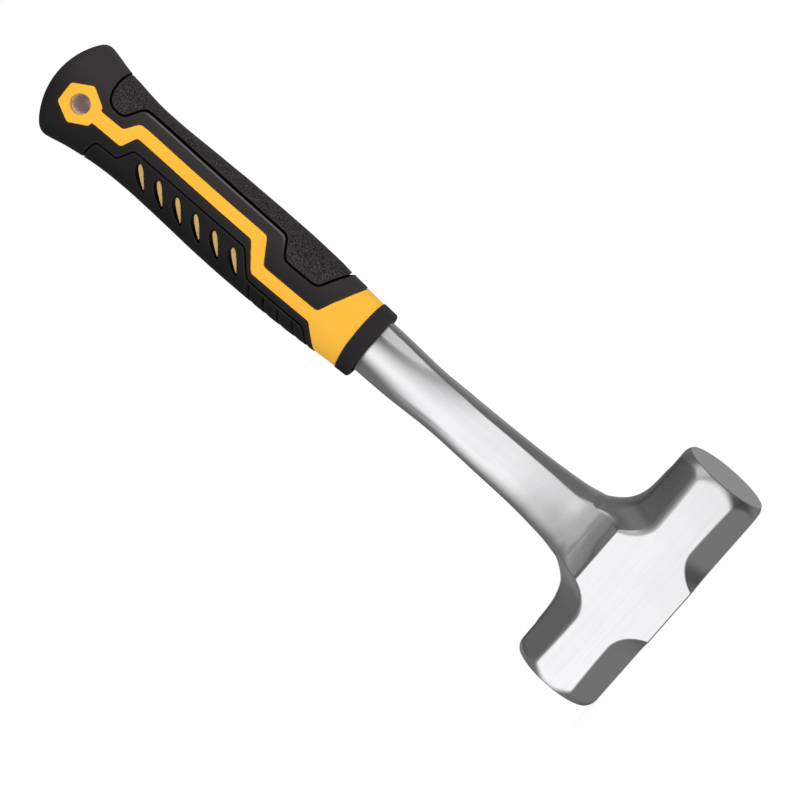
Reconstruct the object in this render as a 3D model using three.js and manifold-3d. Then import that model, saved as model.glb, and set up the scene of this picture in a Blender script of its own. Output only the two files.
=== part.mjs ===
// One-piece forged hand sledge with a two-shot moulded grip.
// Millimetres, +Z up. The hammer stands on the crown of its head with the
// handle pointing up: X is the striking axis, Y crosses the two cheeks.
// The palm pad faces +X and the finger pad -X.
import * as THREE from 'three';
import { mergeVertices } from 'three/addons/utils/BufferGeometryUtils.js';
import Module from 'manifold-3d';

const wasm = await Module();
wasm.setup();

// ---------------------------------------------------------------- dimensions
const HEIGHT = 308.4;         // crown to butt, the overall length
const HEAD_HALF_L = 101 / 2;  // centre to striking face
const HEAD_W = 36;            // head across the flats
const HEAD_HALF_W = HEAD_W / 2;
const TANG_HALF_W = 18 / 2;   // along X
const TANG_HALF_T = 8 / 2;    // along Y
const TANG_END = 278;         // top of the tang inside the grip
const TANG_HOLES = [196, 250]; // heights of the key holes through the tang
const TANG_HOLE_R = 3.2;
const GRIP_Z0 = 150;          // head end of the grip
const HANG_U = 16.7;          // hang hole, distance from the butt
const HANG_Z = HEIGHT - HANG_U;
const SKIN = 1.7;             // thickness of the soft skin
const GAP = 0.3;              // clearance between neighbouring pieces
const PAD_GROOVE = 0.35;      // half width of the grooves round the pads
const THROUGH = 60;           // length of a cutter that crosses the whole grip

// ------------------------------------------------------------ mesh helpers
const clean = (source) => {
  const geometry = source.clone();
  for (const key of Object.keys(geometry.attributes)) {
    if (key !== 'position') geometry.deleteAttribute(key);
  }
  return mergeVertices(geometry, 1e-5);
};

const solid = (source) => {
  const geometry = clean(source);
  return new wasm.Manifold(new wasm.Mesh({
    numProp: 3,
    vertProperties: new Float32Array(geometry.attributes.position.array),
    triVerts: new Uint32Array(geometry.index.array),
  }));
};

// A cylinder whose rings are moved onto superellipse sections, listed upwards
// as [z, half x, half y, exponent].
const loft = (rows, segments) => {
  const steps = rows.length - 1;
  const geometry = new THREE.CylinderGeometry(1, 1, steps, segments, steps);
  geometry.rotateX(Math.PI / 2);
  const position = geometry.attributes.position;
  for (let i = 0; i < position.count; i++) {
    const [z, halfX, halfY, exponent] = rows[Math.round(position.getZ(i) + steps / 2)];
    const radius = Math.hypot(position.getX(i), position.getY(i));
    const bulge = (v) => {
      const unit = radius > 0 ? v / radius : 0;
      return Math.abs(unit) < 1e-9 ? 0 : Math.sign(unit) * Math.abs(unit) ** (2 / exponent);
    };
    const x = radius * halfX * bulge(position.getX(i));
    const y = radius * halfY * bulge(position.getY(i));
    position.setXYZ(i, x, y, z);
  }
  return geometry;
};

// Moves every vertex of a closed surface along its normal.
const inflate = (source, distance) => {
  const geometry = clean(source);
  geometry.computeVertexNormals();
  const { position, normal } = geometry.attributes;
  const point = new THREE.Vector3();
  const direction = new THREE.Vector3();
  for (let i = 0; i < position.count; i++) {
    point.fromBufferAttribute(position, i);
    point.addScaledVector(direction.fromBufferAttribute(normal, i), distance);
    position.setXYZ(i, point.x, point.y, point.z);
  }
  return geometry;
};

// --------------------------------------------------------- outline helpers
const vectors = (points) => points.map(([x, y]) => new THREE.Vector2(x, y));

// Turns [x, distance from the butt] into [x, z].
const fromButt = (points) => points.map(([x, u]) => [x, HEIGHT - u]);

// Closes a half outline with its mirror image in the first coordinate.
const mirrored = (half) => [...half, ...half.map(([a, b]) => [-a, b]).reverse()];

// Offsets a closed outline outwards with mitred corners.
const grow = (points, distance) => {
  const clockwise = THREE.ShapeUtils.isClockWise(vectors(points));
  const outline = clockwise ? points.slice().reverse() : points;
  const count = outline.length;
  const edgeNormal = ([x0, z0], [x1, z1]) => {
    const length = Math.hypot(x1 - x0, z1 - z0);
    return [(z1 - z0) / length, -(x1 - x0) / length];
  };
  return outline.map((point, i) => {
    const before = edgeNormal(outline[(i + count - 1) % count], point);
    const after = edgeNormal(point, outline[(i + 1) % count]);
    const mitre = 1 + before[0] * after[0] + before[1] * after[1];
    return point.map((v, k) => v + distance * (before[k] + after[k]) / mitre);
  });
};

// ----------------------------------------------------------- basic solids
const extrude = (points, depth) => (
  new THREE.ExtrudeGeometry(new THREE.Shape(vectors(points)), { depth, bevelEnabled: false })
);

// A prism centred on y = 0 from an outline in X and Z.
const prismY = (points, halfDepth = THROUGH / 2) => {
  const geometry = extrude(points, 2 * halfDepth);
  geometry.rotateX(Math.PI / 2);
  geometry.translate(0, halfDepth, 0);
  return solid(geometry);
};

// A box centred on the Z axis.
const boxAt = (lengthX, lengthY, z0, z1) => {
  const geometry = new THREE.BoxGeometry(lengthX, lengthY, z1 - z0);
  geometry.translate(0, 0, (z0 + z1) / 2);
  return solid(geometry);
};

// Everything on the handle between two heights.
const slab = (z0, z1) => boxAt(80, 80, z0, z1);

const pinY = (z, radius, length, segments = 32) => {
  const geometry = new THREE.CylinderGeometry(radius, radius, length, segments);
  geometry.translate(0, 0, z);
  return solid(geometry);
};

// ---------------------------------------------------------------------- head
const CHAMFER = 9.75;    // leg of the 45 degree chamfers
const RUNOUT_X = 24;     // chamfers run out inboard of this distance
const RUNOUT_R = 13.2;   // radius of the run-out
const RUNOUT_STEPS = 12;
const CUTTER = { width: 48, pastEnd: 5, pastEdge: 6, slant: 2.4 };
// Profile of both turned ends: [radius, depth behind the striking face]
const FACE = [
  [0, 0], [16.9, 0], [17.35, 0.35], [18, 2.4], [18.9, 3.6], [20.4, 5.1], [27, 11],
];

// Cutter for one chamfer: flat towards the end, curving out to the full
// square in the middle of the head. Its Y is the distance into the cutter.
const chamferOutline = (depth) => {
  const runout = Math.sqrt(2 * RUNOUT_R * depth - depth * depth);
  const endX = HEAD_HALF_L + CUTTER.pastEnd;
  const outerY = depth + CUTTER.pastEdge;
  const outline = [[endX, 0], [endX, outerY], [RUNOUT_X - runout - CUTTER.slant, outerY]];
  for (let i = 0; i <= RUNOUT_STEPS; i++) {
    const inboard = runout * (1 - i / RUNOUT_STEPS);
    const rise = RUNOUT_R - Math.sqrt(RUNOUT_R * RUNOUT_R - inboard * inboard);
    outline.push([RUNOUT_X - inboard, rise]);
  }
  return outline;
};

// The cutter starts on the +X end of the +Y -Z edge. Turns about X and a half
// turn about Y carry it to the other edges and to the -X end.
const chamferCutter = (endTurn, flipDegrees, edgeTurn) => {
  const depth = CHAMFER / Math.SQRT2;
  const geometry = extrude(chamferOutline(depth), CUTTER.width);
  geometry.translate(0, HEAD_HALF_W * Math.SQRT2 - depth, -CUTTER.width / 2);
  geometry.rotateX(-Math.PI / 4);
  geometry.rotateX(edgeTurn);
  geometry.rotateY(endTurn);
  return solid(geometry).rotate(flipDegrees, 0, 0).translate(0, 0, HEAD_HALF_W);
};

// Turned body along X with a flat round face and a bevel at each end.
const turnedEnds = () => {
  const profile = mirrored(FACE.map(([radius, depth]) => [HEAD_HALF_L - depth, radius]));
  const points = profile.reverse().map(([x, radius]) => new THREE.Vector2(radius, x));
  const lathe = new THREE.LatheGeometry(points, 56);
  lathe.rotateZ(-Math.PI / 2);
  lathe.translate(0, 0, HEAD_HALF_W);
  return solid(lathe);
};

const makeHead = () => {
  let head = boxAt(2 * HEAD_HALF_L, HEAD_W, 0, HEAD_W);
  for (const endTurn of [0, Math.PI]) {
    for (const flipDegrees of [0, 180]) {
      for (const edgeTurn of [Math.PI / 2, 0]) {
        head = head.subtract(chamferCutter(endTurn, flipDegrees, edgeTurn));
      }
    }
  }
  return head.intersect(turnedEnds());
};

// ------------------------------------------------------------ neck and shank
// [z, half width in X, half thickness in Y, section exponent]
const NECK = [
  [30, 33, 8.0, 8], [36.0, 33, 8.0, 8], [36.5, 30.5, 8.0, 8], [37.2, 27.2, 8.0, 8],
  [38.6, 23.2, 8.1, 7], [40.8, 19.9, 8.2, 7], [44.6, 16.7, 8.3, 6], [48.4, 14.75, 8.2, 6],
  [52.1, 13.75, 7.9, 6], [55.9, 13.1, 7.5, 6], [63.4, 12.35, 7.1, 6], [70.9, 11.75, 6.85, 5.5],
  [82.2, 11.15, 6.7, 5.5], [93.5, 10.68, 6.75, 5], [108, 10.25, 6.95, 4.6],
  [120, 10.3, 7.25, 4], [131, 10.75, 7.5, 3.4], [139, 11.2, 7.7, 3], [146, 11.55, 7.8, 2.7],
  [158, 11.7, 7.8, 2.6], [166, TANG_HALF_W, TANG_HALF_T, 9], [200, TANG_HALF_W, TANG_HALF_T, 9],
  [TANG_END - 4, TANG_HALF_W, TANG_HALF_T, 9], [TANG_END, TANG_HALF_W - 2.5, TANG_HALF_T, 9],
];
const NECK_SEGMENTS = 32;
const CAVITY_Z0 = 130;   // the clearance body starts at the first station above this
const RAMP_HALF_X = 14.2;
// Half section of the ramp that joins the cheeks to the neck: [y, z]
const RAMP = [[HEAD_HALF_W - 1, 33], [HEAD_HALF_W - 0.02, 35.6], [8.1, 43.5]];
// Half outline that trims the +X and -X sides of the ramp: [x, z]
const RAMP_TRIM = [[12.6, 30], [12.6, 36], [14.2, 39.5], [16.2, 44]];

const makeForging = () => {
  const ramp = prismY(mirrored(RAMP), RAMP_HALF_X).rotate(0, 0, 90);
  const trimmedRamp = ramp.intersect(prismY(mirrored(RAMP_TRIM), 20));
  let forging = makeHead().add(solid(loft(NECK, NECK_SEGMENTS))).add(trimmedRamp);
  for (const z of TANG_HOLES) forging = forging.subtract(pinY(z, TANG_HOLE_R, 30, 24));
  return forging;
};

// The shank and tang grown by the clearance.
const shankCavity = () => {
  const rows = NECK.filter(([z]) => z > CAVITY_Z0).map(([z, halfX, halfY, exponent]) => (
    [z === TANG_END ? z + GAP : z, halfX + GAP, halfY + GAP, exponent]
  ));
  return solid(loft(rows, NECK_SEGMENTS));
};

// ------------------------------------------------------------- grip envelope
// [distance from the butt, half width in X, half thickness in Y]
const GRIP = [
  [0, 2.6, 2.2], [0.35, 4.6, 4.0], [1.4, 8.6, 7.4], [2.9, 12.2, 10.3], [4.5, 15.4, 12.6],
  [6.2, 17.7, 14.0], [8.0, 19.2, 14.7], [10, 20.3, 15.0], [12, 20.55, 15.0], [14.5, 20.1, 14.8],
  [18, 19.2, 14.4], [22.5, 18.3, 13.9], [27, 17.6, 13.5], [34.5, 16.65, 13.1], [42, 16.2, 12.9],
  [50, 16.1, 12.9], [60, 16.35, 13.0], [72, 16.8, 13.1], [84, 17.25, 13.2], [98, 17.4, 13.2],
  [112, 17.25, 13.1], [125, 16.8, 12.9], [136, 16.15, 12.6], [145, 15.6, 12.2],
  [152, 15.2, 11.9], [158.4, 14.9, 11.7], [166, 14.6, 11.5],
];
const GRIP_EXPONENT = 2.35;
const gripRows = GRIP.map(([u, halfX, halfY]) => [HEIGHT - u, halfX, halfY, GRIP_EXPONENT]);
const gripGeometry = loft(gripRows.reverse(), 40);

const envelope = (offset = 0) => solid(inflate(gripGeometry, offset));

// ------------------------------------------------------------- grip outlines
// All tables here are [x, distance from the butt].
const HEX_R = 8.75;      // hexagonal boss around the hang hole
const HEX_NEAR = HANG_U - HEX_R * Math.sqrt(3) / 2;   // its flat nearest the butt
const HEX_FAR = HANG_U + HEX_R * Math.sqrt(3) / 2;

// Joint between the core's collar and the neck ring.
const RING_LINE = [
  [-19, 152.4], [-13.5, 152.1], [-8.4, 151.5], [-2.4, 150.95], [5.2, 150.85], [12.1, 151.0],
  [19, 151.4],
];
// Everything that shows the hard core: the boss round the hang hole, the
// stepped stripe and the collar at the head end.
const CORE_OUTLINE = fromButt([
  [19, 145.3], [14.7, 142.65], [12.1, 141.13], [8.74, 139.44], [5.5, 137.65], [0.5, 135.5],
  [-0.55, 134.9], [-0.96, 133.9], [-1.2, 118.9], [-1.29, 109.6], [-0.95, 108.7], [-0.1, 108.1],
  [7.3, 103.2], [8.05, 102.4], [8.3, 101.3], [8.3, 81.5], [8.5, 62.6], [8.85, 43.7], [8.8, 39.8],
  [8.4, 38.8], [7.5, 38.05], [3.7, 35.5], [3.2, 34.7], [3.08, 33.2], [3.07, HEX_FAR],
  [HEX_R / 2, HEX_FAR], [HEX_R, HANG_U], [HEX_R / 2, HEX_NEAR],
  [-HEX_R / 2, HEX_NEAR], [-HEX_R, HANG_U], [-HEX_R / 2, HEX_FAR],
  [-2.62, HEX_FAR], [-2.62, 37.3], [-2.45, 38.1], [-1.85, 38.75], [3.3, 41.1], [3.95, 41.7],
  [4.12, 42.6], [3.8, 62.6], [3.55, 81.5], [3.48, 98.0], [3.25, 98.75], [2.7, 99.3],
  [-6.0, 106.1], [-6.5, 106.75], [-6.65, 107.6], [-6.5, 118.9], [-6.3, 134.2], [-6.5, 134.95],
  [-7.2, 135.65], [-10.95, 139.2], [-13.75, 141.6], [-19, 145.9], ...RING_LINE,
]);
const PALM_OUTLINE = fromButt([
  [24, 21.6], [17.6, 21.7], [14.7, 21.9], [11.6, 22.55], [9.2, 23.6], [7.4, 25.2], [6.5, 27.3],
  [6.35, 30.6], [6.8, 32.3], [7.9, 33.3], [12.1, 35.75], [13.1, 36.8], [13.4, 38.4], [13.4, 42],
  [13.1, 62.2], [12.85, 81.2], [12.65, 100], [12.55, 106.4], [12.1, 107.9], [11.0, 109.0],
  [7.0, 111.9], [5.75, 113.2], [5.3, 115.0], [5.55, 127.3], [6.1, 129.1], [7.5, 130.4],
  [11.1, 132.25], [13.7, 133.9], [16.2, 136], [24, 142],
]);
const FINGER_OUTLINE = fromButt([
  [-24, 26.6], [-13.8, 28.3], [-9.3, 29.3], [-8.0, 30.0], [-7.4, 31.2], [-7.25, 39.2],
  [-6.6, 40.2], [-1.4, 42.9], [-0.5, 43.8], [-0.24, 45.2], [-0.27, 62.6], [-0.3, 97.8],
  [-0.65, 99.0], [-1.5, 99.9], [-8.5, 105.9], [-9.35, 107.0], [-9.6, 108.4], [-9.6, 118.7],
  [-9.45, 132.7], [-9.75, 134.2], [-10.6, 135.4], [-13.7, 137.8], [-24, 146.5],
]);

// Six slanted windows on each side of the finger pad, each with a tapered
// tongue of the core showing inside. Distances u are from the butt.
const SLOT = { count: 6, x: -2.75, u: 48.3, stepX: -0.17, pitch: 9.42, runX: -7.7, runU: 7.1 };
// [fraction along the slot, half width on the butt side, on the head side]
const WINDOW = [
  [-0.06, 0.5, 0.5], [0.02, 1.3, 1.1], [0.2, 2.0, 1.35], [0.45, 2.1, 1.25], [0.7, 1.6, 0.95],
  [0.92, 0.9, 0.6], [1.04, 0.3, 0.3],
];
const TONGUE = [
  [0.0, 0.35, 0.3], [0.08, 0.85, 0.7], [0.25, 1.0, 0.95], [0.5, 0.8, 0.85], [0.75, 0.5, 0.55],
  [0.95, 0.15, 0.15],
];

const slotPrisms = (profile) => Array.from({ length: SLOT.count }, (_, i) => {
  const length = Math.hypot(SLOT.runX, SLOT.runU);
  const at = (along, across) => [
    SLOT.x + SLOT.stepX * i + SLOT.runX * along - SLOT.runU / length * across,
    SLOT.u + SLOT.pitch * i + SLOT.runU * along + SLOT.runX / length * across,
  ];
  const buttSide = profile.map(([along, width]) => at(along, width));
  const headSide = profile.map(([along, , width]) => at(along, -width)).reverse();
  return prismY(fromButt([...buttSide, ...headSide]));
});

// --------------------------------------------------------------- grip pieces
const INLAY = 0.2;            // the hard core sits this far below the skin
const TONGUE_DEPTH = 1.0;
const SLEEVE_R = 4.4;
const SLEEVE_BORE = 3.8;
const SLEEVE_L = 23;
const HANG_R = 4;
const PALM_RISE = 0.15;       // palm pad above the envelope
const RING_RISE = 0.1;        // neck ring above the envelope
const RING_WALL = 1.9;        // end wall of the neck ring
const SHELL_END = 150.5;      // head end of the skin bands, from the butt
// Diagonal grooves across the -X side of the finger pad near its head end.
const BELLY = { count: 4, u: 112, pitch: 7, depth: 1.0 };
// Section of one groove: [x, offset from its station]
const BELLY_GROOVE = [[-13.6, -1.2], [-20, 3.6], [-20, 5.2], [-13.6, 0.2]];

// The hard body under the skin, plus the raised show surfaces. Pins left in
// the tang cavity key it into the tang holes.
const makeCore = () => {
  const zone = slab(GRIP_Z0 + RING_WALL + GAP, HEIGHT);
  let core = envelope(-SKIN - GAP).intersect(zone);
  core = core.add(envelope(-INLAY).intersect(prismY(CORE_OUTLINE)).intersect(zone));
  for (const tongue of slotPrisms(TONGUE)) {
    core = core.add(envelope(-TONGUE_DEPTH).intersect(tongue));
  }
  let cavity = shankCavity();
  for (const z of TANG_HOLES) cavity = cavity.subtract(pinY(z, TANG_HOLE_R - GAP, 30, 24));
  return core.subtract(cavity)
    .subtract(pinY(HANG_Z, HANG_R, THROUGH))
    .subtract(pinY(HANG_Z, SLEEVE_R + GAP, SLEEVE_L + 2 * GAP));
};

// A thin steel tube in the hang hole, held by the two lips of the core.
const makeSleeve = () => (
  pinY(HANG_Z, SLEEVE_R, SLEEVE_L).subtract(pinY(HANG_Z, SLEEVE_BORE, THROUGH))
);

// The skin layer, its outer face raised by a given amount.
const skinLayer = (rise = 0) => envelope(rise).subtract(envelope(-SKIN));

// Butt cap and the bands that frame both pads.
const makeShell = () => skinLayer().intersect(slab(HEIGHT - SHELL_END, HEIGHT + 5))
  .subtract(prismY(grow(CORE_OUTLINE, GAP)))
  .subtract(prismY(grow(PALM_OUTLINE, PAD_GROOVE)))
  .subtract(prismY(grow(FINGER_OUTLINE, PAD_GROOVE)));

const makePalm = () => (
  skinLayer(PALM_RISE).intersect(prismY(grow(PALM_OUTLINE, -PAD_GROOVE)))
);

const makeFinger = () => {
  let finger = skinLayer().intersect(prismY(grow(FINGER_OUTLINE, -PAD_GROOVE)));
  for (const window of slotPrisms(WINDOW)) finger = finger.subtract(window);
  for (let i = 0; i < BELLY.count; i++) {
    const station = BELLY.u + i * BELLY.pitch;
    const groove = prismY(fromButt(BELLY_GROOVE.map(([x, offset]) => [x, station + offset])));
    finger = finger.subtract(groove.subtract(envelope(-BELLY.depth)));
  }
  return finger;
};

// Closes the head end of the grip round the shank.
const makeRing = () => {
  const endU = HEIGHT - GRIP_Z0;
  const joint = RING_LINE.map(([x, u]) => [x, u + GAP]);
  return envelope(RING_RISE)
    .intersect(prismY(fromButt([...joint, [19, endU], [-19, endU]])))
    .subtract(envelope(-SKIN).intersect(slab(GRIP_Z0 + RING_WALL, HEIGHT)))
    .subtract(shankCavity());
};

// -------------------------------------------------------------------- object
const FINISH = {
  forging: { color: 0xb9babd, roughness: 0.3, metalness: 1 },
  core: { color: 0xfbbe3c, roughness: 0.45, metalness: 0 },
  shell: { color: 0x242224, roughness: 0.6, metalness: 0 },
  palm: { color: 0x352f2f, roughness: 0.85, metalness: 0 },
  finger: { color: 0x232122, roughness: 0.62, metalness: 0 },
  ring: { color: 0x1f1e1f, roughness: 0.6, metalness: 0 },
  sleeve: { color: 0x8f898c, roughness: 0.45, metalness: 0.6 },
};

const group = new THREE.Group();

const addPiece = (name, piece, finish) => {
  const { vertProperties, triVerts } = piece.getMesh();
  const geometry = new THREE.BufferGeometry();
  const positions = new Float32Array(vertProperties);
  geometry.setAttribute('position', new THREE.BufferAttribute(positions, 3));
  geometry.setIndex(new THREE.BufferAttribute(new Uint32Array(triVerts), 1));
  geometry.computeVertexNormals();
  const mesh = new THREE.Mesh(geometry, new THREE.MeshStandardMaterial(finish));
  mesh.name = name;
  group.add(mesh);
};

addPiece('steel_forging', makeForging(), FINISH.forging);
addPiece('grip_core', makeCore(), FINISH.core);
addPiece('grip_shell', makeShell(), FINISH.shell);
addPiece('palm_pad', makePalm(), FINISH.palm);
addPiece('finger_pad', makeFinger(), FINISH.finger);
addPiece('neck_ring', makeRing(), FINISH.ring);
addPiece('hang_sleeve', makeSleeve(), FINISH.sleeve);

export default group;
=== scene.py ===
# Short one-piece hand sledge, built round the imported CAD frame.
# The head lies along X with its crown at z = 0; neck, shank and grip run along +Z to the butt.
# The cheeks face +Y and -Y. The palm side of the grip is +X, the finger side -X.
# Geometry code works in millimetres in the frame's axes; meshes are written in metres.
import bpy
import math
import numpy as np
from mathutils import Matrix, Vector


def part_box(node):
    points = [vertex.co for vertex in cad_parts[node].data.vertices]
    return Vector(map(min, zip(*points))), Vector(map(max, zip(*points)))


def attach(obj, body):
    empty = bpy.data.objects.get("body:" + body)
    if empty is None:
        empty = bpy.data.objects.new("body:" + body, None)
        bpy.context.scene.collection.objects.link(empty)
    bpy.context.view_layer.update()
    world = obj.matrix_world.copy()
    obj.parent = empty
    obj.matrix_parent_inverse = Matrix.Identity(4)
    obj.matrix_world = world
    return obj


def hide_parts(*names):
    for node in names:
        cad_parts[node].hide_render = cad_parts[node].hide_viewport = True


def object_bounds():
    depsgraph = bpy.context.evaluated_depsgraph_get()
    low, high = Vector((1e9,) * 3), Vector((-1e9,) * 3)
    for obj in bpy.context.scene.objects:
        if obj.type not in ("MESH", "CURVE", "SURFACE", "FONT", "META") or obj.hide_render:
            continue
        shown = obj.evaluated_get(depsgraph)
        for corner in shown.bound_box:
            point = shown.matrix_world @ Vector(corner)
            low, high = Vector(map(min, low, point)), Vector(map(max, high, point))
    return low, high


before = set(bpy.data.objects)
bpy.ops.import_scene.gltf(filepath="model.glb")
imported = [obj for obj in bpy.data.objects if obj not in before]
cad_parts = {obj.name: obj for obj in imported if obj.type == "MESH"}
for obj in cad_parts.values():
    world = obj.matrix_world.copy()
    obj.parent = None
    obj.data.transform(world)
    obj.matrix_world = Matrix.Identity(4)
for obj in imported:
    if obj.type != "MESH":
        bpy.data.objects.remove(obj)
cad_box = [list(corner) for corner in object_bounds()]

# ---------------------------------------------------------- driving dimensions
HEAD_HALF_X, HEAD_HALF_Y, LENGTH = (size * 1000 for size in cad_box[1])
HEAD_Z = HEAD_HALF_Y                            # the head is square, so this is its middle
RING_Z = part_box("neck_ring")[0][2] * 1000       # front end of the grip
TANG_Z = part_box("steel_forging")[1][2] * 1000   # butt end of the tang


# ------------------------------------------------------------- numeric helpers
class Curve:
    """Monotone cubic through (t, value) stations, sampled for np.interp."""

    def __init__(self, stations, samples=2400):
        t, v = np.array(stations, float).T
        chord = np.diff(v) / np.diff(t)
        tangent = np.zeros_like(v)
        tangent[0], tangent[-1] = chord[0], chord[-1]
        for i in range(1, len(v) - 1):
            if chord[i - 1] * chord[i] > 0:
                w1 = 2 * (t[i + 1] - t[i]) + (t[i] - t[i - 1])
                w2 = (t[i + 1] - t[i]) + 2 * (t[i] - t[i - 1])
                tangent[i] = (w1 + w2) / (w1 / chord[i - 1] + w2 / chord[i])
        x = np.linspace(t[0], t[-1], samples)
        k = np.clip(np.searchsorted(t, x, "right") - 1, 0, len(t) - 2)
        h = t[k + 1] - t[k]
        s = (x - t[k]) / h
        self.x = x
        self.y = ((2 * s**3 - 3 * s**2 + 1) * v[k] + (s**3 - 2 * s**2 + s) * h * tangent[k]
                  + (-2 * s**3 + 3 * s**2) * v[k + 1] + (s**3 - s**2) * h * tangent[k + 1])
        self.gradient = np.gradient(self.y, x)

    def __call__(self, t):
        return np.interp(t, self.x, self.y)

    def slope(self, t):
        return np.interp(t, self.x, self.gradient)


def smooth_max(a, b, blend):
    h = np.maximum(blend - np.abs(a - b), 0) / blend
    return np.maximum(a, b) + h * h * blend * 0.25


def smooth_min(a, b, blend):
    return -smooth_max(-a, -b, blend)


def fade(value, zero_at, one_at):
    """Smooth step; it falls with the value where zero_at is above one_at."""
    s = np.clip((value - zero_at) / (one_at - zero_at), 0, 1)
    return s * s * (3 - 2 * s)


def bell(value, centre, width):
    return np.exp(-((value - centre) / width) ** 2)


def round_corners(points, reach, rounds=2, cut=0.25):
    """Corner cutting on a closed outline, the first round by at most half of reach."""
    p = np.array(points, float)
    for _ in range(rounds):
        q = np.roll(p, -1, 0)
        length = np.linalg.norm(q - p, axis=1, keepdims=True)
        part = np.minimum(cut, reach / np.maximum(length, 1e-6) * 0.5)
        out = np.empty((len(p) * 2, 2))
        out[0::2] = p + (q - p) * part
        out[1::2] = q - (q - p) * part
        p = out
        reach *= 0.5
    return p


class OutlineField:
    """Signed distance in X and Z to closed outlines, negative inside, read off a fine grid."""

    def __init__(self, outlines, low, high, pitch):
        self.low, self.pitch = low, pitch
        nx, nz = (int(math.ceil((high[k] - low[k]) / pitch)) + 1 for k in (0, 1))
        xs = (low[0] + np.arange(nx) * pitch).astype(np.float32)
        zs = (low[1] + np.arange(nz) * pitch).astype(np.float32)
        grid_x, grid_z = np.meshgrid(xs, zs, indexing="ij")
        nearest = np.full(grid_x.shape, 1e9, np.float32)
        inside = np.zeros(grid_x.shape, bool)
        for outline in outlines:
            p = np.array(outline, np.float32)
            odd = np.zeros(grid_x.shape, bool)
            for (ax, az), (bx, bz) in zip(p, np.roll(p, -1, 0)):
                ex, ez = bx - ax, bz - az
                square = ex * ex + ez * ez
                if square < 1e-12:
                    continue
                t = np.clip(((grid_x - ax) * ex + (grid_z - az) * ez) / square, 0, 1)
                dx, dz = grid_x - ax - t * ex, grid_z - az - t * ez
                np.minimum(nearest, dx * dx + dz * dz, out=nearest)
                if az != bz:
                    rows = (zs > min(az, bz)) & (zs <= max(az, bz))
                    if rows.any():
                        cross = ax + (zs[rows] - az) / ez * ex
                        odd[:, rows] ^= xs[:, None] < cross[None, :]
            inside |= odd
        dist = np.sqrt(nearest)
        self.values = np.where(inside, -dist, dist)

    def __call__(self, x, z):
        v = self.values
        fx = np.clip((x - self.low[0]) / self.pitch, 0, v.shape[0] - 1.001)
        fz = np.clip((z - self.low[1]) / self.pitch, 0, v.shape[1] - 1.001)
        i, j = fx.astype(np.int64), fz.astype(np.int64)
        a, b = fx - i, fz - j
        i, j = np.broadcast_arrays(i, j)
        return ((v[i, j] * (1 - a) + v[i + 1, j] * a) * (1 - b)
                + (v[i, j + 1] * (1 - a) + v[i + 1, j + 1] * a) * b)


def lattice(low, high, step):
    return low + np.arange(int(math.ceil((high - low) / step)) + 1) * step


EVERYWHERE = ((-1e9, 1e9),) * 3
SLAB = 96                   # lattice layers sampled at once, to keep memory small
NEWTON_ROUNDS = 3
PULL_PROBE, NORMAL_PROBE = 0.06, 0.07       # half spans of the gradient differences


def mesh_surface(dist, xs, ys, zs, boxes=(EVERYWHERE,)):
    """Surface nets of dist = 0 on a lattice, pulled onto the exact surface.
    Outside the boxes there is nothing. Returns vertices, quads and unit normals."""
    grid = (xs, ys, zs)
    shape = tuple(len(line) for line in grid)
    values = np.full(shape, 1.0, np.float32)
    for box in boxes:
        ix, iy, iz = (np.nonzero((line >= low) & (line <= high))[0]
                      for line, (low, high) in zip(grid, box))
        for start in range(0, len(iz), SLAB):
            kz = iz[start:start + SLAB]
            points = (line.astype(np.float32) for line in (xs[ix], ys[iy], zs[kz]))
            values[np.ix_(ix, iy, kz)] = dist(*np.ix_(*points))
    values[values == 0] = 1e-6
    solid = values < 0
    cells, crossings, quads = [], [], []
    for a in range(3):
        first, second = [slice(None)] * 3, [slice(None)] * 3
        first[a], second[a] = slice(0, -1), slice(1, None)
        start = np.argwhere(solid[tuple(first)] != solid[tuple(second)])
        b, c = (a + 1) % 3, (a + 2) % 3
        for k in (b, c):    # keep edges whose four cells exist
            start = start[(start[:, k] > 0) & (start[:, k] < shape[k] - 1)]
        end = start.copy()
        end[:, a] += 1
        f0, f1 = (values[tuple(e.T)].astype(float) for e in (start, end))
        point = np.stack([grid[k][start[:, k]] for k in range(3)], 1)
        point[:, a] += f0 / (f0 - f1) * (grid[a][end[:, a]] - grid[a][start[:, a]])
        quad = []
        for db, dc in ((-1, -1), (0, -1), (0, 0), (-1, 0)):
            cell = start.copy()
            cell[:, b] += db
            cell[:, c] += dc
            ids = (cell[:, 0] * shape[1] + cell[:, 1]) * shape[2] + cell[:, 2]
            cells.append(ids)
            crossings.append(point)
            quad.append(ids)
        quad = np.stack(quad, 1)
        flip = f0 > 0
        quad[flip] = quad[flip][:, ::-1]
        quads.append(quad)
    crossings = np.concatenate(crossings)
    used, index = np.unique(np.concatenate(cells), return_inverse=True)
    index = index.ravel()
    count = np.bincount(index)
    verts = np.stack([np.bincount(index, crossings[:, k]) / count for k in range(3)], 1)
    quads = np.searchsorted(used, np.concatenate(quads))
    smallest = min(float(np.min(np.diff(line))) for line in grid)

    def gradient(at, probe):
        out = np.empty_like(at)
        for k in range(3):
            d = np.zeros(3)
            d[k] = probe
            out[:, k] = (dist(*(at + d).T) - dist(*(at - d).T)) / (2 * probe)
        return out

    for _ in range(NEWTON_ROUNDS):
        grad = gradient(verts, PULL_PROBE)
        square = (grad * grad).sum(1, keepdims=True)
        move = dist(*verts.T)[:, None] * grad / np.maximum(square, 0.05)
        length = np.linalg.norm(move, axis=1, keepdims=True)
        verts = verts - move * np.minimum(1, 0.5 * smallest / np.maximum(length, 1e-9))
    normals = gradient(verts, NORMAL_PROBE)
    normals /= np.maximum(np.linalg.norm(normals, axis=1, keepdims=True), 1e-9)
    return verts, quads, normals


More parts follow.
